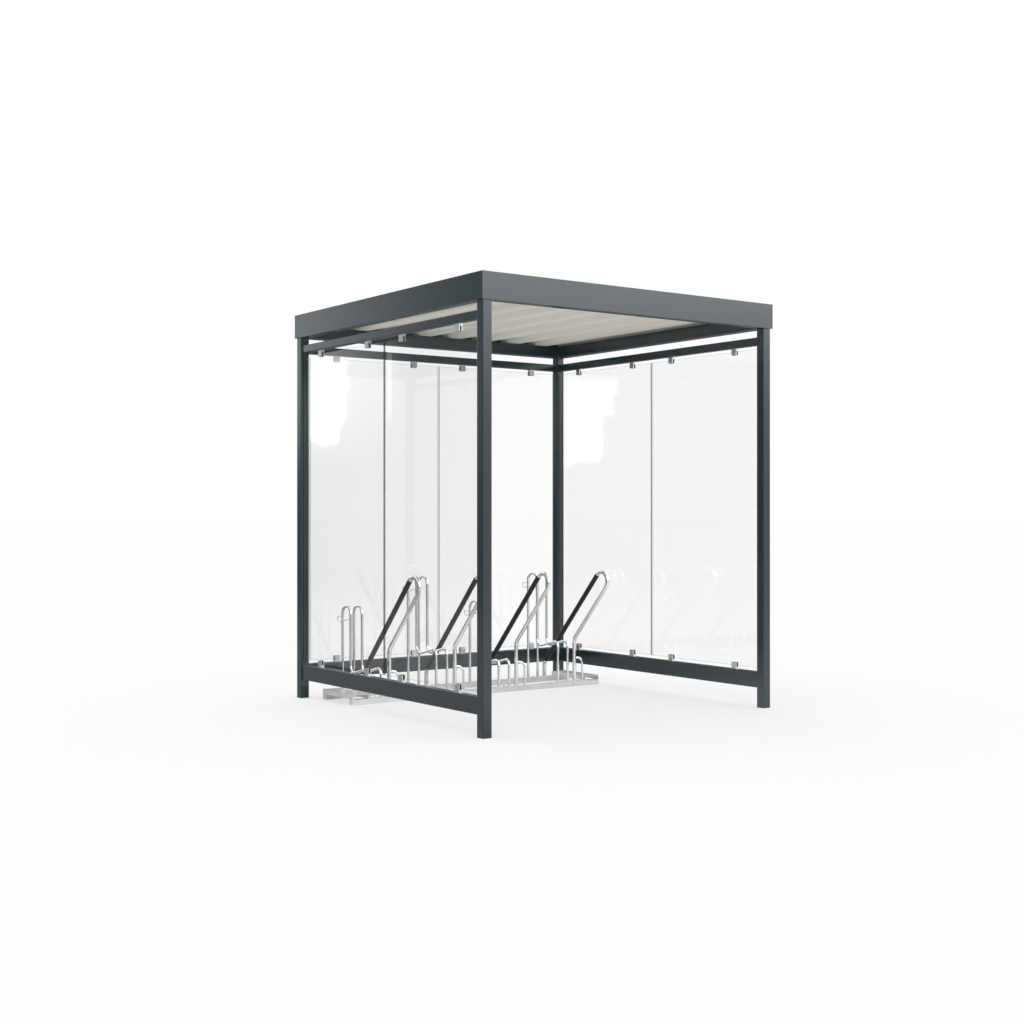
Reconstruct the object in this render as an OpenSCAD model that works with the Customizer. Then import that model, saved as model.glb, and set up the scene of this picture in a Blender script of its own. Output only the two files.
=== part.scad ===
// Bike shelter: four square posts, a flat roof behind a deep fascia, glass on
// three sides and a four-place bike rack. The front, towards -Y, is open.
// Origin: centre of the plan, on the ground. X runs across the front, Z is up.

/* [Shelter] */
// Height from the ground to the top edge of the fascia
shelter_h = 2500; // [2200:10:3000]
// Centre distance of the posts across the front
post_pitch_x = 2100; // [1980:10:2600]
// Centre distance of the posts from front to back
post_pitch_y = 2100; // [1980:10:2600]

/* [Posts] */
// Side of the square post
post_w = 60; // [50:1:80]
// Wall of the post
post_wall = 4; // [3:0.5:6]
// Outer corner radius of the post
post_r = 6; // [5:0.5:8]
// Thickness of the plate that closes the foot of the post
foot_t = 8; // [5:1:15]

/* [Roof] */
// Height of the fascia
fascia_h = 150; // [130:5:220]
// Thickness of the folded fascia sheet
fascia_t = 3; // [2:0.5:4]
// How far the fascia stands out from the posts and beams
fascia_gap = 10; // [5:1:30]
// Width of the fold along the fascia's top edge
fascia_fold = 30; // [15:1:60]
// Height of the roof beam
beam_h = 80; // [50:5:80]
// Wall of the roof beam
beam_wall = 3; // [2:0.5:5]
// Centre distance of the ribs in the roof sheet
rib_pitch = 250; // [200:10:300]
// Height of the ribs in the roof sheet
rib_h = 40; // [25:1:45]
// Width of a rib across its top
rib_crest = 110; // [60:5:120]
// Width of one sloping side of a rib, in plan
rib_slope = 20; // [15:1:35]
// Thickness of the roof sheet
sheet_t = 1.5; // [1:0.5:3]

/* [Wall rails] */
// Thickness of the wall rails, across the wall
rail_w = 40; // [30:1:50]
// Wall of the rail tube
rail_wall = 3; // [2:0.5:4]
// Outer corner radius of the rail tube
rail_r = 5; // [4:0.5:6]
// Height of the upper rail
top_rail_h = 50; // [40:5:80]
// Gap between the upper rail and the roof beam
top_rail_gap = 50; // [20:5:150]
// Height of the lower rail
low_rail_h = 100; // [60:5:140]
// Gap between the ground and the lower rail
low_rail_gap = 120; // [60:5:250]

/* [Glass] */
// Thickness of the glass
glass_t = 8; // [6:1:12]
// Gap between the two panes of a wall
pane_gap = 10; // [4:1:30]
// Gap between a pane and the post beside it
post_gap = 20; // [10:1:60]
// Gap between a pane and the rails above and below it
edge_gap = 22; // [15:1:30]

/* [Glass clamps] */
// Width of a clamp along the rail
clamp_w = 40; // [30:1:60]
// Height of a clamp
clamp_h = 42; // [40:1:70]
// Thickness of a clamp across the glass
clamp_t = 24; // [20:1:34]
// Distance from the middle of the wall to the inner clamps
clamp_inner = 200; // [100:10:350]
// Distance from the middle of the wall to the outer clamps
clamp_outer = 800; // [500:10:900]
// Thickness of the rubber pad in a clamp
pad_t = 2; // [1:0.5:3]
// Thickness of the pad between the edge of the glass and the clamp
pad_base = 8; // [2:1:10]
// Clearance between a pad and the glass
pad_clear = 0.2; // [0.1:0.1:1]

/* [Rack base] */
// Depth of the rack's base
rack_depth = 390; // [360:10:450]
// Distance from the rack's front edge to the middle of the shelter
rack_front = 510; // [400:10:540]
// Distance of the rack's middle to the right of the shelter's middle
rack_shift = 7; // [-20:1:20]
// Height of the base channels
channel_h = 35; // [30:1:50]
// Width of the base channels
channel_w = 40; // [30:1:50]
// Thickness of the base channels and the cross members
channel_t = 3; // [2:0.5:5]
// Height of the cross members
cross_h = 30; // [20:1:40]
// Width of the cross members
cross_w = 120; // [80:1:140]
// Gap between a cross member and the nearest bar
cross_gap = 5; // [1:1:20]

/* [Wheel holders] */
// Centre distance of the places
place_pitch = 500; // [400:10:520]
// Diameter of the holder bars
bar_d = 18; // [14:1:20]
// Centre distance of the two bars of a holder
bar_pitch = 84; // [60:1:100]
// Height of the top of a low holder
low_top = 610; // [520:10:650]
// How much higher every second holder stands
high_step = 180; // [0:10:250]
// Height of the foot of the slope that carries the tyre, on a low holder
low_dip = 164; // [150:2:200]
// How much higher that slope is on a high holder
high_dip_step = 100; // [0:10:150]
// Rise of the slope from the inner leg to the front leg
nose_rise = 58; // [40:2:80]
// Centre distance of the two upright legs of a holder
leg_pitch = 107; // [70:1:120]
// Diameter of the wire of the lock eye
eye_d = 7; // [5:1:9]
// Drop of the lock eye below the top of its holder
eye_drop = 102; // [95:1:200]
// Fall of the wire from the inner leg to the lock eye
eye_fall = 26; // [5:1:40]
// How far the lock eye reaches behind the back leg
eye_reach = 65; // [40:1:80]
// Width of the lock eye's loop
eye_w = 32; // [24:1:40]

/* [Lean hoops] */
// Diameter of the lean hoop tube
hoop_d = 27; // [22:1:32]
// Distance of a hoop to the right of its wheel holder
hoop_shift = 102; // [90:1:130]
// Height where the front leg bends towards the open side
hoop_knee = 330; // [300:10:360]
// Height where the back leg bends towards the open side
hoop_heel = 135; // [120:5:150]
// Length of the sloping front leg
hoop_reach = 570; // [400:10:600]
// Centre distance of the two sloping legs
hoop_pitch = 123; // [90:1:140]
// Outer diameter of the black sleeve
grip_d = 33; // [30:1:40]
// Clearance between the sleeve and the tube
grip_clear = 0.3; // [0.2:0.1:0.6]
// Bare tube between the sleeve and the bend at either end
grip_gap = 5; // [2:1:60]
// Diameter of the side bar at the foot of a hoop
side_bar_d = 14; // [10:1:18]
// How far the side bar stands out from the hoop
side_bar_reach = 70; // [50:1:90]
// Height of the side bar
side_bar_h = 195; // [150:5:250]

/* [Hidden] */
$fn = 48;

// Colours
paint = [0.27, 0.29, 0.32];
sheet_white = [0.80, 0.79, 0.75];
glass_tint = [0.80, 0.86, 0.86, 0.4];
steel = [0.72, 0.73, 0.74];
zinc = [0.66, 0.68, 0.70];
black = [0.08, 0.08, 0.08];

// Levels of the roof
post_h = shelter_h - fascia_h;
sheet_z = post_h + beam_h;
side_x = post_pitch_x / 2;
side_y = post_pitch_y / 2;
frame_x = side_x + post_w / 2;
frame_y = side_y + post_w / 2;
fascia_x = frame_x + fascia_gap;
fascia_y = frame_y + fascia_gap;

// Levels of the walls
top_rail_z = post_h - top_rail_gap - top_rail_h;
low_rail_z = low_rail_gap;
low_rail_top = low_rail_z + low_rail_h;
glass_z = low_rail_top + edge_gap;
glass_h = top_rail_z - edge_gap - glass_z;
pad_slot_t = glass_t + 2 * (pad_t + pad_clear);
pad_slot_h = clamp_h - edge_gap + pad_base + pad_clear;

// Rack
rack_back = rack_front + rack_depth;
front_leg_y = rack_front + channel_w / 2;
back_leg_y = rack_back - channel_w / 2;
places = 4;
end_left = (bar_pitch + bar_d) / 2 + cross_gap + cross_w;
end_right = hoop_shift + side_bar_reach + side_bar_d / 2 + cross_gap + cross_w;
rack_l = end_left + (places - 1) * place_pitch + end_right;
first_place_x = rack_shift - rack_l / 2 + end_left;
wheel_r = 45;
nose_r = 35;
knee_r = 60;
hairpin_flat = 4;
hairpin_r = (leg_pitch - hairpin_flat) / 2;
hoop_end_r = (hoop_pitch - hairpin_flat) / 2;
eye_flat = 3;
eye_bend_r = 20;
eye_bend_back = 12;
side_bar_r = 45;

// Lap of a straight into a bend, and the loss of diameter in a bend
bend_lap = 1;
bend_draw = 0.1;

// Side view (y, z) of a lean hoop: up, forward along the slope, round and back
// down. The slope sets its two sloping legs one hoop pitch apart.
hoop_knee_pt = [front_leg_y, hoop_knee];
hoop_heel_pt = [back_leg_y, hoop_heel];
hoop_span = hoop_heel_pt - hoop_knee_pt;
hoop_slope = asin(hoop_pitch / norm(hoop_span)) - atan2(hoop_span[1], hoop_span[0]);
hoop_dir = [-cos(hoop_slope), sin(hoop_slope)];
hoop_out = [sin(hoop_slope), cos(hoop_slope)];
hoop_tip = hoop_knee_pt + hoop_reach * hoop_dir;
hoop_tip_back = hoop_tip + hoop_pitch * hoop_out;
hoop_heel_setback = knee_r * tan((90 - hoop_slope) / 2);

// Excess of a cut beyond the face it passes
cut = 1;

// Rectangle with round corners, centred
module rounded_rect(w, h, r) {
    square([w - 2 * r, h], center = true);
    square([w, h - 2 * r], center = true);
    for (sx = [-1, 1])
        for (sy = [-1, 1])
            translate([sx * (w / 2 - r), sy * (h / 2 - r)]) circle(r);
}

// Section of a rectangular tube, centred
module tube_section(w, h, r, wall) {
    difference() {
        rounded_rect(w, h, r);
        rounded_rect(w - 2 * wall, h - 2 * wall, max(r - wall, 1));
    }
}

// Rectangular tube along X, centred in plan, standing on z = 0
module tube_x(length, w, h, r, wall) {
    translate([-length / 2, 0, h / 2])
        rotate([90, 0, 90])
            linear_extrude(length) tube_section(w, h, r, wall);
}

// Rectangular tube along Y, centred in plan, standing on z = 0
module tube_y(length, w, h, r, wall) {
    rotate([0, 0, 90]) tube_x(length, w, h, r, wall);
}

// Post with a closed foot, on the corner given by two signs
module post(sx, sy) {
    color(paint)
        translate([sx * side_x, sy * side_y, 0]) {
            linear_extrude(foot_t) rounded_rect(post_w, post_w, post_r);
            translate([0, 0, foot_t])
                linear_extrude(post_h - foot_t)
                    tube_section(post_w, post_w, post_r, post_wall);
        }
}

// Roof beam across the front or back, between the side beams
module beam_across(sy) {
    color(paint)
        translate([0, sy * side_y, post_h])
            tube_x(post_pitch_x - post_w, post_w, beam_h, rail_r, beam_wall);
}

// Roof beam along one side, over both of its posts
module beam_along(sx) {
    color(paint)
        translate([sx * side_x, 0, post_h])
            tube_y(post_pitch_y + post_w, post_w, beam_h, rail_r, beam_wall);
}

// Folded section of the fascia, outer face at x = 0, inside towards +X
module fascia_section() {
    square([fascia_t, fascia_h]);
    square([fascia_gap, fascia_t]);
    translate([0, fascia_h - fascia_t]) square([fascia_fold, fascia_t]);
}

// Fascia on the side at -Y of a plan with the given half sizes, mitred at both ends
module mitred_fascia(half_l, half_d) {
    color(paint)
        translate([0, -half_d, post_h])
            intersection() {
                translate([-half_l, 0, 0])
                    rotate([90, 0, 90])
                        linear_extrude(2 * half_l) fascia_section();
                linear_extrude(fascia_h)
                    polygon([
                        [-half_l, 0],
                        [half_l, 0],
                        [half_l - 2 * fascia_fold, 2 * fascia_fold],
                        [-half_l + 2 * fascia_fold, 2 * fascia_fold]
                    ]);
            }
}

// Roof sheet with ribs that run from front to back
module roof_sheet() {
    width = 2 * frame_x;
    ribs = floor((width - rib_crest - 2 * rib_slope) / rib_pitch) + 1;
    first = -(ribs - 1) / 2 * rib_pitch;
    line = concat(
        [[-width / 2, 0]],
        [for (i = [0 : ribs - 1])
            for (p = [
                [-rib_crest / 2 - rib_slope, 0],
                [-rib_crest / 2, rib_h],
                [rib_crest / 2, rib_h],
                [rib_crest / 2 + rib_slope, 0]
            ]) [first + i * rib_pitch + p[0], p[1]]],
        [[width / 2, 0]]
    );
    upper = [for (i = [len(line) - 1 : -1 : 0]) line[i] + [0, sheet_t]];
    color(sheet_white)
        translate([0, frame_y, sheet_z])
            rotate([90, 0, 0])
                linear_extrude(2 * frame_y) polygon(concat(line, upper));
}

// Upper or lower rail of a side wall
module rail_along(sx, z, h) {
    color(paint)
        translate([sx * side_x, 0, z])
            tube_y(post_pitch_y - post_w, rail_w, h, rail_r, rail_wall);
}

// Upper or lower rail of the back wall
module rail_across(z, h) {
    color(paint)
        translate([0, side_y, z])
            tube_x(post_pitch_x - post_w, rail_w, h, rail_r, rail_wall);
}

// Glass pane in a wall along X, on one side of the wall's middle
module pane(wall_l, side) {
    pane_w = wall_l / 2 - post_gap - pane_gap / 2;
    color(glass_tint)
        translate([side * (pane_gap + pane_w) / 2, 0, glass_z + glass_h / 2])
            cube([pane_w, glass_t, glass_h], center = true);
}

// Block under the upper rail with a slot from below, as wide as the block
module slotted_block(block_t, block_h, slot_t, slot_h) {
    difference() {
        translate([-clamp_w / 2, -block_t / 2, -block_h])
            cube([clamp_w, block_t, block_h]);
        translate([-clamp_w, -slot_t / 2, -block_h - slot_h])
            cube([2 * clamp_w, slot_t, 2 * slot_h]);
    }
}

// Clamp, with a slot for the padded edge of the glass
module clamp() {
    slotted_block(clamp_t, clamp_h, pad_slot_t, pad_slot_h);
}

// Rubber pad that lines the slot of a clamp
module pad() {
    translate([0, 0, pad_slot_h - clamp_h])
        slotted_block(pad_slot_t, pad_slot_h, pad_slot_t - 2 * pad_t, pad_slot_h - pad_base);
}

// One piece at each clamp place of a wall along X, under the upper rail and,
// turned over, on the lower rail
module at_clamps() {
    for (place = [-clamp_outer, -clamp_inner, clamp_inner, clamp_outer]) {
        translate([place, 0, top_rail_z]) children();
        translate([place, 0, low_rail_top]) mirror([0, 0, 1]) children();
    }
}

// Clamps of one wall along X
module clamp_rows() {
    color(steel) at_clamps() clamp();
}

// Rubber pads of one wall along X
module pad_rows() {
    color(black) at_clamps() pad();
}

// Puts a wall that is made along X on the left (-1) or right (1) side
module on_side(sx) {
    translate([sx * side_x, 0, 0]) rotate([0, 0, 90]) children();
}

// Puts a wall that is made along X on the back
module on_back() {
    translate([0, side_y, 0]) children();
}

// Channel along X, centred in plan, standing on z = 0 with its open side down.
// A wall of the given thickness closes each end, or a cut beyond it opens it.
module channel_x(length, w, h, end_wall) {
    difference() {
        translate([-length / 2, -w / 2, 0])
            cube([length, w, h]);
        translate([-length / 2 + end_wall, -w / 2 + channel_t, -cut])
            cube([length - 2 * end_wall, w - 2 * channel_t, h - channel_t + cut]);
    }
}

// Base channel of the rack, with its middle at the given distance to the back
module rack_rail(y) {
    color(zinc)
        translate([rack_shift, y, 0])
            channel_x(rack_l, channel_w, channel_h, channel_t);
}

// Cross member on top of the base channels, at one end of the rack
module rack_cross(sx) {
    color(zinc)
        translate([
            rack_shift + sx * (rack_l - cross_w) / 2,
            rack_front + rack_depth / 2,
            channel_h
        ])
            rotate([0, 0, 90])
                channel_x(rack_depth, cross_w, cross_h, -cut);
}

// Turn about X that points +Z along a direction of the side view (y, z)
function tilt(dir) = atan2(-dir[0], dir[1]);

// Direction from one point of a side view (y, z) to the next
function way(path, i) = (path[i + 1] - path[i]) / norm(path[i + 1] - path[i]);

// Signed angle by which the path turns at an inner corner
function turn(path, i) =
    let (a = way(path, i - 1), b = way(path, i))
    atan2(a[0] * b[1] - a[1] * b[0], a * b);

// Length that the bend takes from each of the straights at a corner
function setback(path, bends, i) =
    i == 0 || i == len(path) - 1 ? 0 : bends[i - 1] * tan(abs(turn(path, i)) / 2);

// Round bar in the plane x = 0 along a side view (y, z), with a bend radius for
// each inner corner. Each straight laps a little into the bends beside it, which
// are thinner by the draw of the bending.
module bent_bar(path, bends, d) {
    $fn = 24;
    last = len(path) - 2;
    for (i = [0 : last]) {
        a = way(path, i);
        lap_a = i > 0 ? bend_lap : 0;
        lap_b = i < last ? bend_lap : 0;
        start = path[i] + a * (setback(path, bends, i) - lap_a);
        length = norm(path[i + 1] - start) - setback(path, bends, i + 1) + lap_b;
        translate([0, start[0], start[1]])
            rotate([tilt(a), 0, 0])
                cylinder(h = length, d = d);
    }
    for (i = [1 : last]) {
        a = way(path, i - 1);
        t = turn(path, i);
        side = sign(t) * [-a[1], a[0]];
        r = bends[i - 1];
        centre = path[i] - a * setback(path, bends, i) + side * r;
        from = atan2(-side[1], -side[0]) + min(t, 0);
        translate([0, centre[0], centre[1]])
            rotate([90, 0, 90])
                rotate([0, 0, from])
                    rotate_extrude(angle = abs(t)) translate([r, 0]) circle(d = d - bend_draw);
    }
}

// Wheel holder: two bent bars with a gap for the wheel between them
module wheel_holder(index) {
    high = index % 2 == 0 ? 0 : 1;
    top = low_top + high * high_step - bar_d / 2;
    dip = low_dip + high * high_dip_step;
    nose = dip + nose_rise;
    inner_leg_y = back_leg_y - leg_pitch;
    path = [
        [back_leg_y, channel_h],
        [back_leg_y, top],
        [inner_leg_y, top],
        [inner_leg_y, dip],
        [front_leg_y, nose],
        [front_leg_y, channel_h]
    ];
    bends = [hairpin_r, hairpin_r, wheel_r, nose_r];
    color(zinc)
        for (side = [-1, 1])
            translate([place_x(index) + side * bar_pitch / 2, 0, 0]) {
                bent_bar(path, bends, bar_d);
                if (side < 0)
                    translate([0, back_leg_y, top - eye_drop]) lock_eye();
            }
}

// Wire from the inner leg past the back leg, looped back to it as an eye for a lock
module lock_eye() {
    loop_r = (eye_w - eye_flat) / 2;
    bent_bar(
        [
            [-leg_pitch, eye_fall],
            [eye_bend_back, 0],
            [eye_reach, 0],
            [eye_reach, eye_w],
            [0, eye_w]
        ],
        [eye_bend_r, loop_r, loop_r],
        eye_d
    );
}

// Position of a rack place, counted from the left
function place_x(index) = first_place_x + index * place_pitch;

// Lean hoop: bent tube for the bicycle's frame to lean on
module lean_hoop(index) {
    color(zinc)
        translate([place_x(index) + hoop_shift, 0, 0])
            bent_bar(
                [
                    [front_leg_y, channel_h],
                    hoop_knee_pt,
                    hoop_tip,
                    hoop_tip_back,
                    hoop_heel_pt,
                    [back_leg_y, channel_h]
                ],
                [knee_r, hoop_end_r, hoop_end_r, knee_r],
                hoop_d
            );
    color(zinc)
        translate([place_x(index) + hoop_shift, front_leg_y, 0])
            rotate([0, 0, -90])
                bent_bar(
                    [
                        [0, side_bar_h],
                        [side_bar_reach, side_bar_h],
                        [side_bar_reach, channel_h]
                    ],
                    [side_bar_r],
                    side_bar_d
                );
}

// Sleeve on the upper sloping leg of a lean hoop, between the bends
module lean_grip(index) {
    start = hoop_tip_back - (hoop_end_r + grip_gap) * hoop_dir;
    grip_l = norm(hoop_heel_pt - start) - hoop_heel_setback - grip_gap;
    color(black)
        translate([place_x(index) + hoop_shift, start[0], start[1]])
            rotate([tilt(-hoop_dir), 0, 0])
                difference() {
                    cylinder(h = grip_l, d = grip_d);
                    translate([0, 0, -cut])
                        cylinder(h = grip_l + 2 * cut, d = hoop_d + 2 * grip_clear);
                }
}

post(-1, -1);  // post_front_left
post(1, -1);  // post_front_right
post(-1, 1);  // post_back_left
post(1, 1);  // post_back_right
beam_across(-1);  // beam_front
beam_across(1);  // beam_back
beam_along(-1);  // beam_left
beam_along(1);  // beam_right
mitred_fascia(fascia_x, fascia_y);  // fascia_front
rotate([0, 0, 180]) mitred_fascia(fascia_x, fascia_y);  // fascia_back
rotate([0, 0, -90]) mitred_fascia(fascia_y, fascia_x);  // fascia_left
rotate([0, 0, 90]) mitred_fascia(fascia_y, fascia_x);  // fascia_right
roof_sheet();
rail_along(-1, top_rail_z, top_rail_h);  // rail_top_left
rail_across(top_rail_z, top_rail_h);  // rail_top_back
rail_along(1, top_rail_z, top_rail_h);  // rail_top_right
rail_along(-1, low_rail_z, low_rail_h);  // rail_bottom_left
rail_across(low_rail_z, low_rail_h);  // rail_bottom_back
rail_along(1, low_rail_z, low_rail_h);  // rail_bottom_right
on_side(-1) pane(post_pitch_y - post_w, -1);  // glass_left_front
on_side(-1) pane(post_pitch_y - post_w, 1);  // glass_left_back
on_back() pane(post_pitch_x - post_w, -1);  // glass_back_left
on_back() pane(post_pitch_x - post_w, 1);  // glass_back_right
on_side(1) pane(post_pitch_y - post_w, -1);  // glass_right_front
on_side(1) pane(post_pitch_y - post_w, 1);  // glass_right_back
on_side(-1) clamp_rows();  // clamps_left
on_back() clamp_rows();  // clamps_back
on_side(1) clamp_rows();  // clamps_right
on_side(-1) pad_rows();  // pads_left
on_back() pad_rows();  // pads_back
on_side(1) pad_rows();  // pads_right
rack_rail(front_leg_y);  // rack_rail_front
rack_rail(back_leg_y);  // rack_rail_back
rack_cross(-1);  // rack_cross_left
rack_cross(1);  // rack_cross_right
wheel_holder(0);  // wheel_holder_1
wheel_holder(1);  // wheel_holder_2
wheel_holder(2);  // wheel_holder_3
wheel_holder(3);  // wheel_holder_4
lean_hoop(0);  // lean_hoop_1
lean_hoop(1);  // lean_hoop_2
lean_hoop(2);  // lean_hoop_3
lean_hoop(3);  // lean_hoop_4
lean_grip(0);  // lean_grip_1
lean_grip(1);  // lean_grip_2
lean_grip(2);  // lean_grip_3
lean_grip(3);  // lean_grip_4
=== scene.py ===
"""Bike shelter: finishes, bent bars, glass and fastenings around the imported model."""

import math

import bmesh
import bpy
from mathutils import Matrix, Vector


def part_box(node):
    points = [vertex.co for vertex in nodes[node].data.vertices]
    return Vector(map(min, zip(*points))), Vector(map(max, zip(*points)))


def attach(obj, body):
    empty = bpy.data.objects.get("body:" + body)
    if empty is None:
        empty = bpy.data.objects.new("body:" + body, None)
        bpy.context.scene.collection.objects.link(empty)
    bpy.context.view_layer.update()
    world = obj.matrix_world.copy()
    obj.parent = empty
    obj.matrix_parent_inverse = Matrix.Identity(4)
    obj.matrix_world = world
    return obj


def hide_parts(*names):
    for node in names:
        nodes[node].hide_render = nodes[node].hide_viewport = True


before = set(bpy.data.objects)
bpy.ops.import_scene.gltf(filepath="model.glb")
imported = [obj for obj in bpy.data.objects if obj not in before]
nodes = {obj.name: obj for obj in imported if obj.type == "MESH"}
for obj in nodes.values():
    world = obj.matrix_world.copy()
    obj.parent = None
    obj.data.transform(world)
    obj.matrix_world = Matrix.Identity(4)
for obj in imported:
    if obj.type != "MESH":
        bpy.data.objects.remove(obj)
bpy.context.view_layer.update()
scene = bpy.context.scene


# ---------------------------------------------------------------- node helpers

def add(tree, kind, values=None, **settings):
    """Adds a node; a value that is a socket becomes a link."""
    node = tree.nodes.new(kind)
    for key, value in settings.items():
        setattr(node, key, value)
    for key, value in (values or {}).items():
        if isinstance(value, bpy.types.NodeSocket):
            tree.links.new(value, node.inputs[key])
        else:
            node.inputs[key].default_value = value
    return node


def maths(tree, operation, *values):
    """The result of one Math node."""
    return add(tree, "ShaderNodeMath", dict(enumerate(values)), operation=operation).outputs[0]


def product(tree, first, *others):
    """Several values multiplied."""
    for other in others:
        first = maths(tree, "MULTIPLY", first, other)
    return first


def largest(tree, first, *others):
    """The largest of several values."""
    for other in others:
        first = maths(tree, "MAXIMUM", first, other)
    return first


def empty_tree(owner):
    """Gives a material or world an empty node tree."""
    owner.use_nodes = True
    owner.node_tree.nodes.clear()
    return owner.node_tree


def new_material(name):
    """A material with an empty tree and the object's own coordinates in metres."""
    material = bpy.data.materials.new(name)
    tree = empty_tree(material)
    return material, tree, add(tree, "ShaderNodeTexCoord").outputs["Object"]


def noise(tree, place, size, detail=2.0, stretch=(1, 1, 1)):
    """Noise whose features are about the given size in metres."""
    scaled = add(tree, "ShaderNodeMapping", {"Vector": place, "Scale": stretch})
    return add(tree, "ShaderNodeTexNoise", {
        "Vector": scaled.outputs["Vector"], "Scale": 1 / size, "Detail": detail,
    }).outputs["Fac"]


def spread(tree, value, low, high, start=0.3, end=0.7):
    """Maps a value between start and end to a number between low and high."""
    return add(tree, "ShaderNodeMapRange", {
        "Value": value, "From Min": start, "From Max": end, "To Min": low, "To Max": high,
    }).outputs["Result"]


def band(tree, value, low, high, soft):
    """One between two limits and nothing outside them, with soft edges."""
    rise = spread(tree, value, 0.0, 1.0, low - soft, low + soft)
    fall = spread(tree, value, 1.0, 0.0, high - soft, high + soft)
    return product(tree, rise, fall)


def grey(value):
    """A colour with no hue."""
    return (value, value, value)


def between(tree, factor, first, second):
    """Mixes two colours."""
    mix = add(tree, "ShaderNodeMix", data_type="RGBA")
    # Inputs 0, 6 and 7 and output 2 are the ones that this node uses for colours
    for socket, value in ((mix.inputs[0], factor), (mix.inputs[6], first), (mix.inputs[7], second)):
        if isinstance(value, bpy.types.NodeSocket):
            tree.links.new(value, socket)
        else:
            socket.default_value = value if isinstance(value, float) else (*value, 1)
    return mix.outputs[2]


def bump(tree, height, depth):
    """Relief of the given depth in metres."""
    return add(tree, "ShaderNodeBump", {
        "Height": height, "Distance": depth, "Strength": 1.0,
    }).outputs["Normal"]


def mixed(tree, factor, first, second):
    """Mixes two shaders."""
    return add(tree, "ShaderNodeMixShader", {
        "Fac": factor, 1: first.outputs[0], 2: second.outputs[0],
    })


def finish_with(tree, values):
    """Ends a tree in a Principled surface."""
    surface = add(tree, "ShaderNodeBsdfPrincipled", values)
    add(tree, "ShaderNodeOutputMaterial", {"Surface": surface.outputs["BSDF"]})


# ------------------------------------------------------------------- finishes

def powder_coat():
    """Anthracite powder coat: a dark, slightly blue grey with a fine orange peel."""
    material, tree, place = new_material("anthracite_powder_coat")
    clouds = noise(tree, place, 0.35, 3.0)
    grain = noise(tree, place, 0.0016, 2.0)
    peel = noise(tree, place, 0.0028, 1.0)
    finish_with(tree, {
        "Base Color": between(tree, clouds, (0.0190, 0.0322, 0.0412), (0.0225, 0.0368, 0.0462)),
        "Roughness": spread(tree, grain, 0.16, 0.22),
        "IOR": 1.6,
        "Normal": bump(tree, peel, 0.00003),
    })
    return material


def roof_coat():
    """Grey-white coil coat of the roof sheet, with faint streaks along its ribs."""
    material, tree, place = new_material("grey_white_coil_coat")
    streaks = noise(tree, place, 0.12, 3.0, (1, 0.12, 1))
    fine = noise(tree, place, 0.004, 2.0)
    finish_with(tree, {
        "Base Color": between(tree, streaks, (0.71, 0.695, 0.625), (0.77, 0.755, 0.69)),
        "Roughness": spread(tree, fine, 0.56, 0.66),
        "Specular IOR Level": 0.3,
        "Normal": bump(tree, fine, 0.00002),
    })
    return material


def zinc_coat():
    """Hot-dip galvanised plate: soft spangle and dull patches."""
    material, tree, place = new_material("galvanised_steel")
    spangle = add(tree, "ShaderNodeTexVoronoi", {"Vector": place, "Scale": 140.0}).outputs["Color"]
    flake = add(tree, "ShaderNodeSeparateColor", {"Color": spangle}).outputs["Red"]
    dull = noise(tree, place, 0.05, 3.0, (1, 1, 0.4))
    colour = between(tree, flake, (0.83, 0.825, 0.812), (0.90, 0.895, 0.88))
    colour = between(tree, spread(tree, dull, 0.0, 0.4, 0.45, 0.75), colour, (0.70, 0.71, 0.71))
    finish_with(tree, {
        "Base Color": colour,
        "Metallic": 0.3,
        "Roughness": spread(tree, flake, 0.30, 0.42, 0.0, 1.0),
        "Normal": bump(tree, dull, 0.0002),
    })
    return material


def bright_bar():
    """Drawn bar with a thin bright zinc coat and faint draw lines."""
    material, tree, place = new_material("bright_galvanised_bar")
    runs = noise(tree, place, 0.03, 3.0, (1, 1, 0.25))
    fine = noise(tree, place, 0.0015, 2.0)
    finish_with(tree, {
        "Base Color": between(tree, runs, (0.78, 0.785, 0.775), (0.89, 0.89, 0.88)),
        "Metallic": 0.93,
        "Roughness": spread(tree, fine, 0.12, 0.19),
        "Normal": bump(tree, runs, 0.00015),
    })
    return material


def satin_steel():
    """Stainless steel brushed upwards, for clamps and screws."""
    material, tree, place = new_material("satin_stainless_steel")
    brush = noise(tree, place, 0.0012, 2.0, (1, 1, 0.04))
    patches = noise(tree, place, 0.03, 2.0)
    finish_with(tree, {
        "Base Color": between(tree, patches, (0.57, 0.57, 0.56), (0.68, 0.68, 0.67)),
        "Metallic": 1.0,
        "Roughness": spread(tree, brush, 0.30, 0.42),
        "Normal": bump(tree, brush, 0.00001),
    })
    return material


def black_polymer(name, low, high, roughness, grain_size):
    """Black rubber or plastic, mottled between two brightnesses, with a fine grain."""
    material, tree, place = new_material(name)
    mottle = noise(tree, place, 0.02, 3.0)
    grain = noise(tree, place, grain_size, 2.0)
    finish_with(tree, {
        "Base Color": between(tree, mottle, (low, low, low * 1.03), (high, high, high * 1.02)),
        "Roughness": spread(tree, grain, roughness - 0.06, roughness + 0.06),
        "Normal": bump(tree, grain, 0.00006),
    })
    return material


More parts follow.
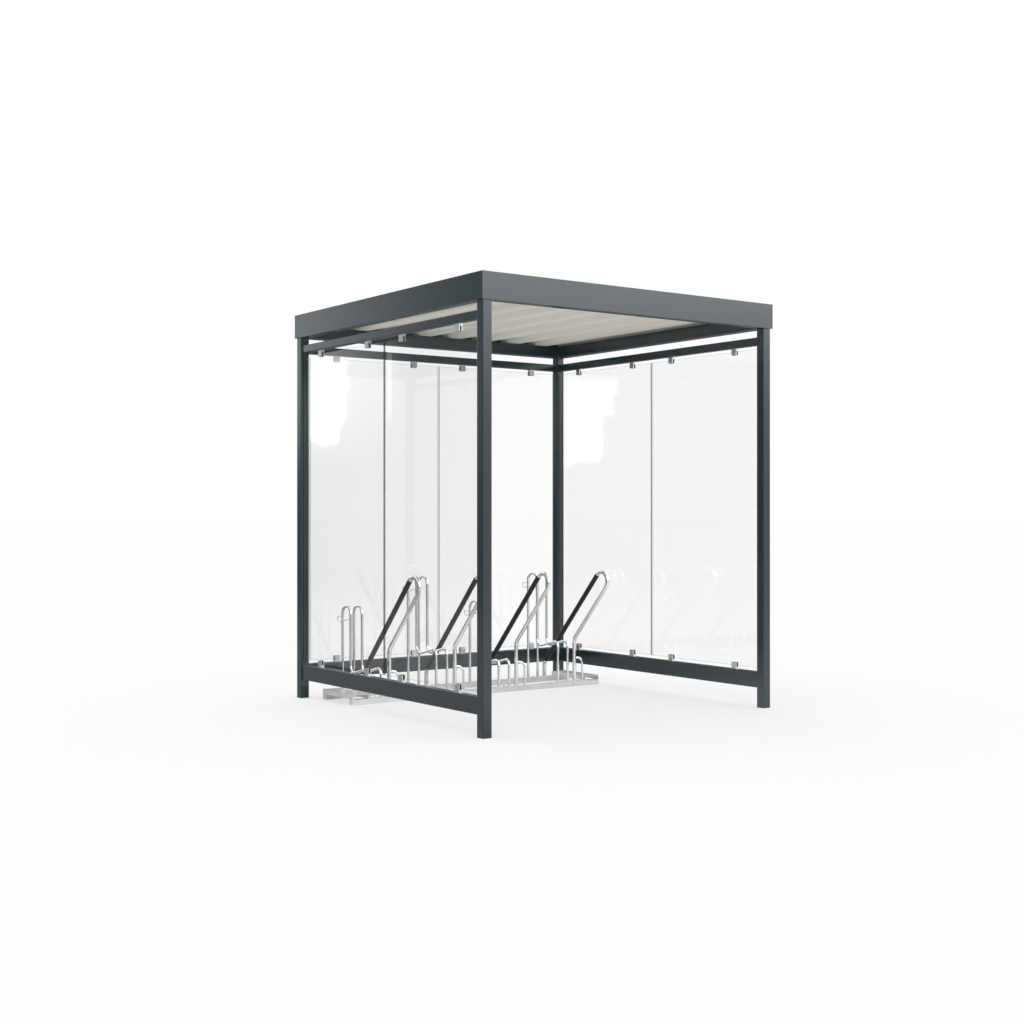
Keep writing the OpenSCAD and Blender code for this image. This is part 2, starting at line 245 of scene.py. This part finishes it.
def clear_glass():
    """Thin clear glass: what is behind it shows through, and its gloss grows with the slant
    at which it is seen."""
    material, tree, place = new_material("clear_glass")
    film = noise(tree, place, 0.5, 2.0)
    tint = between(tree, film, (0.989, 0.990, 0.990), (0.993, 0.994, 0.994))
    through = add(tree, "ShaderNodeBsdfTransparent", {"Color": tint})
    gloss = add(tree, "ShaderNodeBsdfGlossy", {"Color": (1, 1, 1, 1), "Roughness": 0.0})
    slant = add(tree, "ShaderNodeLayerWeight", {"Blend": 0.5}).outputs["Facing"]
    head_on = 0.04
    steep = maths(tree, "POWER", slant, 5.0)
    share = maths(tree, "MULTIPLY_ADD", steep, 1 - head_on, head_on)
    pane = mixed(tree, share, through, gloss)
    add(tree, "ShaderNodeOutputMaterial", {"Surface": pane.outputs["Shader"]})
    return material


def ground_edge(name, within):
    """The ground edge of a pane: dark from outside, and lets this much through from within."""
    material, tree, place = new_material(name)
    grain = noise(tree, place, 0.0008, 2.0)
    deep = noise(tree, place, 0.02, 2.0)
    outside = add(tree, "ShaderNodeBsdfPrincipled", {
        "Base Color": between(tree, deep, (0.004, 0.007, 0.007), (0.009, 0.013, 0.013)),
        "Roughness": spread(tree, grain, 0.25, 0.45),
        "Normal": bump(tree, grain, 0.00002),
    })
    inside = add(tree, "ShaderNodeBsdfTransparent", {"Color": (*grey(within), 1)})
    side = add(tree, "ShaderNodeNewGeometry").outputs["Backfacing"]
    both = mixed(tree, side, outside, inside)
    add(tree, "ShaderNodeOutputMaterial", {"Surface": both.outputs["Shader"]})
    return material


PAINT = powder_coat()
ROOF = roof_coat()
ZINC = zinc_coat()
BAR = bright_bar()
STEEL = satin_steel()
SLEEVE = black_polymer("matt_black_sleeve", 0.007, 0.012, 0.34, 0.0009)
RUBBER = black_polymer("black_rubber", 0.014, 0.022, 0.62, 0.0006)
GLASS = clear_glass()
EDGE = ground_edge("ground_glass_edge", 1.0)
SIDE_EDGE = ground_edge("ground_glass_side", 0.6)

FINISH_OF = {
    "post": PAINT, "beam": PAINT, "fascia": PAINT, "rail": PAINT, "roof_sheet": ROOF,
    "glass": GLASS, "clamps": STEEL, "pads": RUBBER, "rack": ZINC,
    "wheel_holder": ZINC, "lean_hoop": ZINC, "lean_grip": SLEEVE,
}
for name, node in nodes.items():
    finish = next(FINISH_OF[start] for start in FINISH_OF if name.startswith(start))
    if not node.material_slots:
        node.data.materials.append(finish)
    for slot in node.material_slots:
        slot.material = finish


# ------------------------------------------------------------- geometry trees

def geometry_tree(name, inputs):
    """A geometry tree with named inputs; inputs is {label: (socket type, default)}."""
    tree = bpy.data.node_groups.new(name, "GeometryNodeTree")
    tree.interface.new_socket("Geometry", in_out="INPUT", socket_type="NodeSocketGeometry")
    for label, (kind, value) in inputs.items():
        socket = tree.interface.new_socket(label, in_out="INPUT", socket_type=kind)
        if value is not None:
            socket.default_value = value
    tree.interface.new_socket("Geometry", in_out="OUTPUT", socket_type="NodeSocketGeometry")
    return tree, add(tree, "NodeGroupInput").outputs


def end_tree(tree, geometry, material, smooth=True):
    """Ends a geometry tree in plain faces with their material."""
    real = add(tree, "GeometryNodeRealizeInstances", {"Geometry": geometry})
    if smooth:
        real = add(tree, "GeometryNodeSetShadeSmooth", {"Geometry": real.outputs["Geometry"]})
    painted = add(tree, "GeometryNodeSetMaterial", {
        "Geometry": real.outputs["Geometry"], "Material": material,
    })
    add(tree, "NodeGroupOutput", {"Geometry": painted.outputs["Geometry"]})
    return tree


def bar_tree():
    """Sweeps a round bar along the edges, with a bend of its own radius at each corner."""
    tree, given = geometry_tree("bent_bar", {
        "Radius": ("NodeSocketFloat", 0.009),
        "Sides": ("NodeSocketInt", 20),
        "Steps": ("NodeSocketInt", 10),
        "Material": ("NodeSocketMaterial", None),
    })
    line = add(tree, "GeometryNodeMeshToCurve", {"Mesh": given["Geometry"]})
    bend = add(tree, "GeometryNodeInputNamedAttribute", {"Name": "bend"}, data_type="FLOAT")
    round_line = add(tree, "GeometryNodeFilletCurve", {
        "Curve": line.outputs["Curve"],
        "Count": given["Steps"],
        "Radius": bend.outputs["Attribute"],
    }, mode="POLY")
    section = add(tree, "GeometryNodeCurvePrimitiveCircle", {
        "Resolution": given["Sides"], "Radius": given["Radius"],
    })
    bar = add(tree, "GeometryNodeCurveToMesh", {
        "Curve": round_line.outputs["Curve"],
        "Profile Curve": section.outputs["Curve"],
        "Fill Caps": True,
    })
    return end_tree(tree, bar.outputs["Mesh"], given["Material"])


def weld_tree():
    """Lays overlapping weld drops along the edges."""
    tree, given = geometry_tree("weld_run", {
        "Drop": ("NodeSocketFloat", 0.0024),
        "Step": ("NodeSocketFloat", 0.0024),
        "Seed": ("NodeSocketInt", 3),
        "Material": ("NodeSocketMaterial", None),
    })
    line = add(tree, "GeometryNodeMeshToCurve", {"Mesh": given["Geometry"]})
    steps = add(tree, "GeometryNodeResampleCurve", {
        "Curve": line.outputs["Curve"], "Length": given["Step"],
    }, mode="LENGTH")
    drop = add(tree, "GeometryNodeMeshIcoSphere", {"Radius": given["Drop"], "Subdivisions": 1})
    # Inputs 2 and 3 are the lowest and highest number, and output 1 is the number
    size = add(tree, "FunctionNodeRandomValue", {2: 0.85, 3: 1.1, "Seed": given["Seed"]})
    drops = add(tree, "GeometryNodeInstanceOnPoints", {
        "Points": steps.outputs["Curve"],
        "Instance": drop.outputs["Mesh"],
        "Scale": size.outputs[1],
    })
    return end_tree(tree, drops.outputs["Instances"], given["Material"])


def fastener_tree():
    """Sets one fastener on each point, along the point's facing direction."""
    tree, given = geometry_tree("fasteners", {
        "Fastener": ("NodeSocketObject", None),
        "Seed": ("NodeSocketInt", 5),
        "Material": ("NodeSocketMaterial", None),
    })
    way = add(tree, "GeometryNodeInputNamedAttribute", {"Name": "facing"}, data_type="FLOAT_VECTOR")
    spin = add(tree, "FunctionNodeRandomValue", {2: 0.0, 3: math.tau, "Seed": given["Seed"]})
    spun = add(tree, "FunctionNodeAxisAngleToRotation", {
        "Axis": (0, 0, 1), "Angle": spin.outputs[1],
    })
    aligned = add(tree, "FunctionNodeAlignRotationToVector", {
        "Rotation": spun.outputs["Rotation"], "Vector": way.outputs["Attribute"],
    }, axis="Z")
    shape = add(tree, "GeometryNodeObjectInfo", {"Object": given["Fastener"]})
    placed = add(tree, "GeometryNodeInstanceOnPoints", {
        "Points": given["Geometry"],
        "Instance": shape.outputs["Geometry"],
        "Rotation": aligned.outputs["Rotation"],
    })
    return end_tree(tree, placed.outputs["Instances"], given["Material"], smooth=False)


BENT_BAR = bar_tree()
WELD_RUN = weld_tree()
FASTENERS = fastener_tree()


# ---------------------------------------------------------------- mesh helpers

def placed_object(name, data):
    """An object in the scene that holds a mesh, lamp or camera."""
    made = bpy.data.objects.new(name, data)
    scene.collection.objects.link(made)
    return made


def show(name, mesh, replaced=()):
    """Puts a finished mesh in the scene as a piece of the shelter."""
    piece = placed_object(name, mesh)
    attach(piece, "root")
    if replaced:
        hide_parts(*replaced)
    return piece


def grown(name, base, tree, values):
    """Runs a geometry tree on a base mesh and returns the result as a plain mesh."""
    holder = placed_object(name + "_base", base)
    modifier = holder.modifiers.new("tree", "NODES")
    modifier.node_group = tree
    for item in tree.interface.items_tree:
        if item.in_out == "INPUT" and item.name in values:
            modifier[item.identifier] = values[item.name]
    graph = bpy.context.evaluated_depsgraph_get()
    mesh = bpy.data.meshes.new_from_object(holder.evaluated_get(graph))
    mesh.name = name
    holder.modifiers.clear()
    bpy.data.objects.remove(holder)
    return mesh


def lines_mesh(name, paths, closed=False, bends=None):
    """Edges through the points of each path. The inner corners take the bend radii in turn."""
    points, edges, radii = [], [], []
    for path in paths:
        first = len(points)
        points += [tuple(p) for p in path]
        edges += [(first + i, first + i + 1) for i in range(len(path) - 1)]
        if closed:
            edges.append((len(points) - 1, first))
        radii += [0.0, *bends, 0.0] if bends else [0.0] * len(path)
    mesh = bpy.data.meshes.new(name)
    mesh.from_pydata(points, edges, [])
    mesh.attributes.new("bend", "FLOAT", "POINT").data.foreach_set("value", radii)
    return mesh


def finished(made, name):
    """Ends an edit mesh in a plain mesh."""
    mesh = bpy.data.meshes.new(name)
    made.to_mesh(mesh)
    made.free()
    return mesh


def joined(name, meshes):
    """Several meshes as one, with their materials."""
    made = bmesh.new()
    materials = []
    for mesh in meshes:
        before = len(made.faces)
        made.from_mesh(mesh)
        made.faces.ensure_lookup_table()
        for face in made.faces[before:]:
            material = mesh.materials[face.material_index]
            if material not in materials:
                materials.append(material)
            face.material_index = materials.index(material)
    result = finished(made, name)
    for material in materials:
        result.materials.append(material)
    return result


def circle(centre, radius, sides):
    """Points of a level circle."""
    x, y, z = centre
    return [
        (
            x + radius * math.cos(math.tau * i / sides),
            y + radius * math.sin(math.tau * i / sides),
            z,
        )
        for i in range(sides)
    ]


def middle(box, axis):
    """Halfway between the two corners of a box."""
    low, high = box
    return (low[axis] + high[axis]) / 2


# ------------------------------------------------------------- bike rack bars

PLACES = range(1, 5)
BASE_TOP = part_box("rack_rail_front")[1].z
FRONT_LEG_Y = middle(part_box("rack_rail_front"), 1)
BACK_LEG_Y = middle(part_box("rack_rail_back"), 1)
# Straight stretch left between the two bends of a hairpin
HAIRPIN_FLAT = 0.004

# Wheel holder: bar, distance of its two upright legs, and the slope that carries the tyre
BAR_R = 0.009
LEG_PITCH = 0.107
INNER_LEG_Y = BACK_LEG_Y - LEG_PITCH
LOW_DIP = 0.164
HIGH_DIP_STEP = 0.100
NOSE_RISE = 0.058
WHEEL_BEND = 0.045
NOSE_BEND = 0.035

# Lock eye on the left bar of a holder
EYE_R = 0.0035
EYE_DROP = 0.102
EYE_FALL = 0.026
EYE_BEND_BACK = 0.012
EYE_REACH = 0.065
EYE_W = 0.032
EYE_FLAT = 0.003
EYE_BEND = 0.020

# Lean hoop: tube, heights of its knee and heel, reach of the slope, distance of its legs
HOOP_R = 0.0135
KNEE_Z = 0.330
HEEL_Z = 0.135
HOOP_REACH = 0.570
HOOP_PITCH = 0.123
KNEE_BEND = 0.060

# Side bar at the foot of a hoop
SIDE_BAR_R = 0.007
SIDE_BAR_REACH = 0.070
SIDE_BAR_Z = 0.195
SIDE_BAR_BEND = 0.045


def side_path(x, points):
    """A path in the plane of one x from its side view."""
    return [(x, y, z) for y, z in points]


def bent_bars(name, paths, bends, radius, sides, steps):
    """Bright round bars along paths that share their bend radii."""
    return grown(name, lines_mesh(name, paths, bends=bends), BENT_BAR, {
        "Radius": radius, "Sides": sides, "Steps": steps, "Material": BAR,
    })


def holder_legs(number):
    """The x of the left and the right bar of a wheel holder."""
    low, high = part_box(f"wheel_holder_{number}")
    return low.x + BAR_R, high.x - BAR_R


def holder_mesh(number):
    """Both bars of a wheel holder, with the lock eye on the left one."""
    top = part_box(f"wheel_holder_{number}")[1].z - BAR_R
    dip = LOW_DIP if number % 2 else LOW_DIP + HIGH_DIP_STEP
    line = [
        (BACK_LEG_Y, BASE_TOP), (BACK_LEG_Y, top), (INNER_LEG_Y, top),
        (INNER_LEG_Y, dip), (FRONT_LEG_Y, dip + NOSE_RISE), (FRONT_LEG_Y, BASE_TOP),
    ]
    hairpin = (LEG_PITCH - HAIRPIN_FLAT) / 2
    legs = holder_legs(number)
    bars = bent_bars("bars", [side_path(x, line) for x in legs],
                     [hairpin, hairpin, WHEEL_BEND, NOSE_BEND], BAR_R, 20, 10)
    eye_z = top - EYE_DROP
    eye_back = BACK_LEG_Y + EYE_REACH
    eye_line = [
        (INNER_LEG_Y, eye_z + EYE_FALL), (BACK_LEG_Y + EYE_BEND_BACK, eye_z), (eye_back, eye_z),
        (eye_back, eye_z + EYE_W), (BACK_LEG_Y, eye_z + EYE_W),
    ]
    eye_end = (EYE_W - EYE_FLAT) / 2
    eye = bent_bars("eye", [side_path(legs[0], eye_line)],
                    [EYE_BEND, eye_end, eye_end], EYE_R, 12, 8)
    return joined(f"holder_bars_{number}", [bars, eye])


def hoop_mesh(number):
    """A lean hoop with its side bar. Its slope sets its two sloping legs one pitch apart."""
    x = middle(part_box(f"lean_grip_{number}"), 0)
    knee = Vector((FRONT_LEG_Y, KNEE_Z))
    heel = Vector((BACK_LEG_Y, HEEL_Z))
    span = heel - knee
    slope = math.asin(HOOP_PITCH / span.length) - math.atan2(span.y, span.x)
    along = Vector((-math.cos(slope), math.sin(slope)))
    across = Vector((math.sin(slope), math.cos(slope)))
    tip = knee + HOOP_REACH * along
    tip_back = tip + HOOP_PITCH * across
    line = [(FRONT_LEG_Y, BASE_TOP), knee, tip, tip_back, heel, (BACK_LEG_Y, BASE_TOP)]
    hairpin = (HOOP_PITCH - HAIRPIN_FLAT) / 2
    hoop = bent_bars("hoop", [side_path(x, line)],
                     [KNEE_BEND, hairpin, hairpin, KNEE_BEND], HOOP_R, 28, 14)
    out = x + SIDE_BAR_REACH
    side_line = [
        (x, FRONT_LEG_Y, SIDE_BAR_Z), (out, FRONT_LEG_Y, SIDE_BAR_Z), (out, FRONT_LEG_Y, BASE_TOP),
    ]
    side = bent_bars("side", [side_line], [SIDE_BAR_BEND], SIDE_BAR_R, 16, 8)
    return joined(f"hoop_tube_{number}", [hoop, side])


for number in PLACES:
    show(f"holder_bars_{number}", holder_mesh(number), [f"wheel_holder_{number}"])
    show(f"hoop_tube_{number}", hoop_mesh(number), [f"lean_hoop_{number}"])


# ---------------------------------------------------------------------- glass

def pane_mesh(name, low, high, arris=0.0015):
    """A pane with ground, chamfered edges. Broad faces are clear, the rest is edge."""
    made = bmesh.new()
    bmesh.ops.create_cube(made, size=1.0)
    size = high - low
    for vert in made.verts:
        vert.co = Vector([low[i] + (vert.co[i] + 0.5) * size[i] for i in range(3)])
    thin = 0 if size.x < size.y else 1
    rim = [e for e in made.edges if abs((e.verts[0].co - e.verts[1].co)[thin]) < 1e-6]
    bmesh.ops.bevel(made, geom=rim, offset=arris, segments=1, affect="EDGES")
    bmesh.ops.recalc_face_normals(made, faces=made.faces)
    materials = [GLASS, EDGE, SIDE_EDGE]
    for face in made.faces:
        if abs(face.normal[thin]) > 0.99:
            material = GLASS
        else:
            material = EDGE if abs(face.normal.z) > 0.5 else SIDE_EDGE
        face.material_index = materials.index(material)
    mesh = finished(made, name)
    for material in materials:
        mesh.materials.append(material)
    return mesh


for name in sorted(nodes):
    if name.startswith("glass_"):
        pane_name = name.replace("glass_", "pane_")
        show(pane_name, pane_mesh(pane_name, *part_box(name)), [name])


# ------------------------------------------------------------------ weld runs

# Corner radius of the rails and beams, and where their seams lie
TUBE_CORNER = 0.005
SEAM_OUT = 0.0006
SEAM_IN = 0.0008
# Place of the seam round the foot of a bar
FOOT_SEAM_Z = BASE_TOP + 0.0005
FOOT_SEAM_OUT = 0.001
# Distance between two weld drops
WELD_STEP = 0.0026


def loop_at(axis, place, low, high, corner, standoff):
    """A rounded rectangle at a place on an axis, round the section of a box."""
    a, b = [i for i in range(3) if i != axis]
    points = []
    for sign_a, sign_b, start in ((1, 1, 0), (-1, 1, 90), (-1, -1, 180), (1, -1, 270)):
        centre_a = (high[a] - corner) if sign_a > 0 else (low[a] + corner)
        centre_b = (high[b] - corner) if sign_b > 0 else (low[b] + corner)
        for step in range(4):
            angle = math.radians(start + step * 30)
            point = [0.0, 0.0, 0.0]
            point[axis] = place
            point[a] = centre_a + (corner + standoff) * math.cos(angle)
            point[b] = centre_b + (corner + standoff) * math.sin(angle)
            points.append(point)
    return points


def foot_seam(x, y, radius):
    """A circle round the foot of a bar on the rack's base."""
    return circle((x, y, FOOT_SEAM_Z), radius + FOOT_SEAM_OUT, 16)


def weld_seams(name, loops, drop, seed, material):
    """Weld seams along closed loops, as one piece."""
    base = lines_mesh("welds", loops, closed=True)
    show(name, grown(name, base, WELD_RUN, {
        "Drop": drop, "Step": WELD_STEP, "Seed": seed, "Material": material,
    }))


frame_welds = []
for name in sorted(nodes):
    if name.startswith("rail_") or name in ("beam_front", "beam_back"):
        low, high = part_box(name)
        axis = 0 if high.x - low.x > high.y - low.y else 1
        for place in (low[axis] + SEAM_IN, high[axis] - SEAM_IN):
            frame_welds.append(loop_at(axis, place, low, high, TUBE_CORNER, SEAM_OUT))
weld_seams("frame_weld_seams", frame_welds, 0.0026, 3, PAINT)

rack_welds = []
for number in PLACES:
    for x in holder_legs(number):
        rack_welds += [foot_seam(x, y, BAR_R) for y in (FRONT_LEG_Y, BACK_LEG_Y)]
    x = middle(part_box(f"lean_grip_{number}"), 0)
    rack_welds += [foot_seam(x, y, HOOP_R) for y in (FRONT_LEG_Y, BACK_LEG_Y)]
    rack_welds.append(foot_seam(x + SIDE_BAR_REACH, FRONT_LEG_Y, SIDE_BAR_R))
weld_seams("rack_weld_seams", rack_welds, 0.0024, 8, ZINC)


# ------------------------------------------------------------------ fasteners

def skinned(made, rings):
    """Closes rings of points, one above the other, into a solid."""
    loops = [[made.verts.new(point) for point in ring] for ring in rings]
    for lower, upper in zip(loops, loops[1:]):
        for i in range(len(lower)):
            j = (i + 1) % len(lower)
            made.faces.new((lower[i], lower[j], upper[j], upper[i]))
    made.faces.new(loops[-1])
    made.faces.new(list(reversed(loops[0])))


def turned(made, sides, profile):
    """A turned solid round the Z axis. The profile is [(radius, height), ...] from below."""
    skinned(made, [circle((0, 0, height), radius, sides) for radius, height in profile])


def hex_bolt(name, width, head, washer_r, washer_t):
    """Hexagon head on a round washer, both with a small chamfer on top."""
    made = bmesh.new()
    turned(made, 24, [
        (washer_r, 0), (washer_r, washer_t * 0.75), (washer_r * 0.96, washer_t),
    ])
    corner = width / math.sqrt(3)
    turned(made, 6, [
        (corner, washer_t), (corner, washer_t + head * 0.85), (corner * 0.88, washer_t + head),
    ])
    return finished(made, name)


def socket_screw(name, radius, head, key):
    """Domed head with a hexagon socket. The dome is given in shares of radius and height."""
    sides = 24
    rings = [
        circle((0, 0, height), r, sides)
        for r, height in (
            (radius, 0.0), (radius, head * 0.3), (radius * 0.86, head * 0.75), (radius * 0.62, head),
        )
    ]
    hexagon = []
    for i in range(sides):
        angle = math.tau * i / sides
        off_flat = ((angle + math.pi / 6) % (math.pi / 3)) - math.pi / 6
        r = key / 2 / math.cos(off_flat)
        hexagon.append((r * math.cos(angle), r * math.sin(angle)))
    for height in (head, head * 0.35):
        rings.append([(x, y, height) for x, y in hexagon])
    made = bmesh.new()
    skinned(made, rings)
    return finished(made, name)


def fasteners(name, shape, places, material, seed):
    """One fastener at each (point, direction that it faces)."""
    carrier = placed_object(name + "_shape", shape)
    base = bpy.data.meshes.new(name + "_points")
    base.from_pydata([tuple(point) for point, _ in places], [], [])
    ways = base.attributes.new("facing", "FLOAT_VECTOR", "POINT")
    ways.data.foreach_set("vector", [c for _, way in places for c in way])
    mesh = grown(name, base, FASTENERS, {"Fastener": carrier, "Seed": seed, "Material": material})
    bpy.data.objects.remove(carrier)
    return show(name, mesh)


UP = (0, 0, 1)

# Places of the clamps to either side of a wall's middle, and of the two screws in a clamp
CLAMP_PLACES = (-0.8, -0.2, 0.2, 0.8)
CLAMP_SCREW_SHIFT = 0.010
CLAMP_SCREW_RISE = 0.028

clamp_screws = []
for wall in ("left", "back", "right"):
    low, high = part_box(f"clamps_{wall}")
    thin = 1 if wall == "back" else 0
    run = 1 - thin
    inner = low[thin] if low[thin] > 0 else high[thin]
    way = [0.0, 0.0, 0.0]
    way[thin] = -math.copysign(1.0, inner)
    for clamp_place in CLAMP_PLACES:
        for z in (low.z + CLAMP_SCREW_RISE, high.z - CLAMP_SCREW_RISE):
            for shift in (-CLAMP_SCREW_SHIFT, CLAMP_SCREW_SHIFT):
                point = [0.0, 0.0, z]
                point[run] = middle((low, high), run) + clamp_place + shift
                point[thin] = inner
                clamp_screws.append((point, way))
fasteners("clamp_screws", socket_screw("clamp_screw", radius=0.0052, head=0.003, key=0.004),
          clamp_screws, STEEL, 4)

# The roof screws stand on the flats between the ribs of the sheet
RIB_PITCH = 0.25
FLATS = 8
SHEET_T = 0.0015
ROOF_SCREW_INSET = 0.030

sheet_low, sheet_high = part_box("roof_sheet")
roof_screws = []
for flat in range(FLATS):
    x = (flat - (FLATS - 1) / 2) * RIB_PITCH
    for y in (sheet_low.y + ROOF_SCREW_INSET, sheet_high.y - ROOF_SCREW_INSET):
        roof_screws.append(((x, y, sheet_low.z + SHEET_T), UP))
roof_screw = hex_bolt("roof_screw", width=0.008, head=0.0045, washer_r=0.008, washer_t=0.0022)
fasteners("roof_screws", roof_screw, roof_screws, STEEL, 6)

anchor_bolts = [
    ((middle(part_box(f"wheel_holder_{number}"), 0), y, BASE_TOP), UP)
    for number in PLACES
    for y in (FRONT_LEG_Y, BACK_LEG_Y)
]
anchor_bolt = hex_bolt("anchor_bolt", width=0.013, head=0.0065, washer_r=0.011, washer_t=0.002)
fasteners("anchor_bolts", anchor_bolt, anchor_bolts, ZINC, 2)


# ------------------------------------------------------- floor, light, camera

# Level directions of the front panel and of the back panel
FRONT_WAY = (0.58, -0.81, 0)
BACK_WAY = (-0.174, 0.985, 0)

# The floor to the eye: the share that takes shadow, and the glow that is left
FLOOR_SHADE = 0.42
FLOOR_GLOW = 0.57
# The floor to soft light and to gloss; to gloss it is this dark grey under a painted glow
FLOOR_BOUNCE = 0.92
FLOOR_GLOSS = 0.12


def level_way(tree, way):
    """A direction laid level, at unit length."""
    flat = add(tree, "ShaderNodeVectorMath", {0: way, 1: (1, 1, 0)}, operation="MULTIPLY")
    return add(tree, "ShaderNodeVectorMath", {
        0: flat.outputs["Vector"],
    }, operation="NORMALIZE").outputs["Vector"]


def turned_to(tree, flat, way):
    """How far a level direction points one way, from -1 to 1."""
    return add(tree, "ShaderNodeVectorMath", {
        0: flat, 1: way,
    }, operation="DOT_PRODUCT").outputs["Value"]


def horizon(tree, way):
    """Brightness that gloss finds at the horizon: pale in front, dim at the back."""
    front = turned_to(tree, level_way(tree, way), FRONT_WAY)
    return spread(tree, front, 0.12, 0.75, -0.2, 0.8)


def seen_by_eye(tree, ray):
    """One for what the eye sees, straight or through glass."""
    return largest(tree, ray["Is Camera Ray"], ray["Is Transmission Ray"])


def floor_finish():
    """Pale floor that keeps the shelter's shadow. Gloss finds it paler near the shelter, and palest
    in a strip
    before the left half of the rack: a painted glow over a dark grey floor, which only reflections
    see."""
    material, tree, place = new_material("pale_floor")
    ray = add(tree, "ShaderNodeLightPath").outputs
    seen = seen_by_eye(tree, ray)
    mirrored = ray["Is Glossy Ray"]
    reach = add(tree, "ShaderNodeVectorMath", {0: place}, operation="LENGTH").outputs["Value"]
    # Painted glow for reflections: the floor shines paler to gloss within about 14 m of the
    # shelter's middle
    near = spread(tree, reach, 0.32, 0.0, 4.0, 14.0)
    spot = add(tree, "ShaderNodeSeparateXYZ", {"Vector": place}).outputs
    # Painted pool of light in a strip before the left half of the rack, seen only in reflections
    strip = product(
        tree, band(tree, spot["X"], -1.4, 0.15, 0.1), band(tree, spot["Y"], 0.22, 0.60, 0.06)
    )
    near = maths(tree, "MULTIPLY_ADD", strip, 0.45, near)
    # Glossy rays see the floor as a painted glow that also follows the horizon: pale in front, dim
    # at the back
    glow = maths(tree, "ADD", horizon(tree, place), near)
    glow = maths(tree, "SUBTRACT", glow, FLOOR_GLOSS)
    glow = product(tree, mirrored, glow)
    glow = maths(tree, "MULTIPLY_ADD", seen, FLOOR_GLOW, glow)
    colour = between(tree, seen, grey(FLOOR_BOUNCE), grey(FLOOR_SHADE))
    colour = between(tree, mirrored, colour, grey(FLOOR_GLOSS))
    matt = add(tree, "ShaderNodeBsdfDiffuse", {"Color": colour})
    shine = add(tree, "ShaderNodeEmission", {"Color": (1, 1, 1, 1), "Strength": glow})
    both = add(tree, "ShaderNodeAddShader", {0: matt.outputs["BSDF"], 1: shine.outputs["Emission"]})
    add(tree, "ShaderNodeOutputMaterial", {"Surface": both.outputs["Shader"]})
    return material


def floor():
    """A level floor out to the horizon."""
    half = 400.0
    mesh = bpy.data.meshes.new("floor")
    mesh.from_pydata(
        [(-half, -half, 0), (half, -half, 0), (half, half, 0), (-half, half, 0)], [], [(0, 1, 2, 3)]
    )
    mesh.materials.append(floor_finish())
    plane = placed_object("floor", mesh)


def soft_panels(tree, height, front, back):
    """Brightness of the pale ceiling, the panel over the front and the one at the back."""
    ceiling = spread(tree, height, 0.0, 0.9, 0.25, 0.6)
    over_front = product(
        tree, spread(tree, front, 0.0, 2.9, -0.2, 0.8), spread(tree, height, 0.0, 1.0, 0.098, 0.150)
    )
    at_back = product(
        tree, spread(tree, back, 0.0, 1.5, 0.930, 0.958), spread(tree, height, 0.0, 1.0, 0.03, 0.08)
    )
    return largest(tree, ceiling, over_front, at_back)


def bright_windows(tree, way, height, across):
    """Two slanted windows with ragged edges and a slit between them, which clear glass
    mirrors. Limits are the sideways and upward parts of the direction."""
    ragged = spread(tree, noise(tree, way, 0.02, 3.0), -0.004, 0.004)
    slanted = maths(tree, "ADD", maths(tree, "MULTIPLY_ADD", height, 0.10, across), ragged)
    foot = maths(tree, "ADD", height, ragged)
    right = product(
        tree,
        band(tree, slanted, -0.4755, -0.4300, 0.0012),
        band(tree, foot, 0.048, 0.30, 0.002),
        band(tree, across, -0.5, -0.4625, 0.0012),
        spread(tree, height, 1.0, 0.0, 0.104, 0.110),
        2.6,
    )
    slit = product(
        tree,
        band(tree, across, -0.5115, -0.5085, 0.0005),
        band(tree, height, 0.066, 0.112, 0.008),
        1.3,
    )
    left = product(
        tree,
        band(tree, slanted, -0.6280, -0.5900, 0.0012),
        band(tree, foot, 0.033, 0.30, 0.002),
        spread(tree, height, 1.5, 0.0, 0.090, 0.096),
    )
    return largest(tree, right, slit, left)


def surroundings():
    """White to the eye and plain to soft light. Gloss finds soft panels, bright windows
    behind the left wall and dim stretches between them."""
    world = bpy.data.worlds.new("studio")
    tree = empty_tree(world)
    ray = add(tree, "ShaderNodeLightPath").outputs
    way = add(tree, "ShaderNodeTexCoord").outputs["Generated"]
    height = add(tree, "ShaderNodeSeparateXYZ", {"Vector": way}).outputs["Z"]
    flat = level_way(tree, way)
    across = add(tree, "ShaderNodeSeparateXYZ", {"Vector": flat}).outputs["X"]
    back = turned_to(tree, flat, BACK_WAY)
    panels = soft_panels(tree, height, turned_to(tree, flat, FRONT_WAY), back)
    behind = spread(tree, back, 0.0, 1.0, 0.0, 0.1)
    windows = product(tree, behind, bright_windows(tree, way, height, across))
    gloss = maths(tree, "ADD", horizon(tree, way), largest(tree, panels, windows))
    plain = add(tree, "ShaderNodeBackground", {"Color": (1, 1, 1, 1), "Strength": 0.85})
    shine = add(tree, "ShaderNodeBackground", {"Color": (0.95, 0.99, 1.0, 1), "Strength": gloss})
    white = add(tree, "ShaderNodeBackground", {"Color": (1, 1, 1, 1), "Strength": 1.0})
    lit = mixed(tree, ray["Is Glossy Ray"], plain, shine)
    final = mixed(tree, seen_by_eye(tree, ray), lit, white)
    add(tree, "ShaderNodeOutputWorld", {"Surface": final.outputs[0]})
    scene.world = world


def lamp():
    """A very soft light from overhead, a little from the back left."""
    data = bpy.data.lights.new("key", "SUN")
    data.energy = 0.5
    data.angle = math.radians(60)
    toward = Vector((0.10, -0.20, -0.97))
    placed_object("key", data).rotation_euler = toward.to_track_quat("-Z", "Y").to_euler()


def camera():
    """A nearly level camera in front of the shelter's left side, at chest height."""
    heading = math.radians(-35.5065)
    upward = math.radians(0.087)
    data = bpy.data.cameras.new("camera")
    data.sensor_width = 36.0
    data.lens = 50.86
    data.clip_end = 2000.0
    holder = placed_object("camera", data)
    holder.location = (-5.4367, -7.4541, 1.1995)
    holder.rotation_euler = (math.pi / 2 + upward, 0.0, heading)
    scene.camera = holder


floor()
surroundings()
lamp()
camera()
scene.view_settings.view_transform = "Standard"
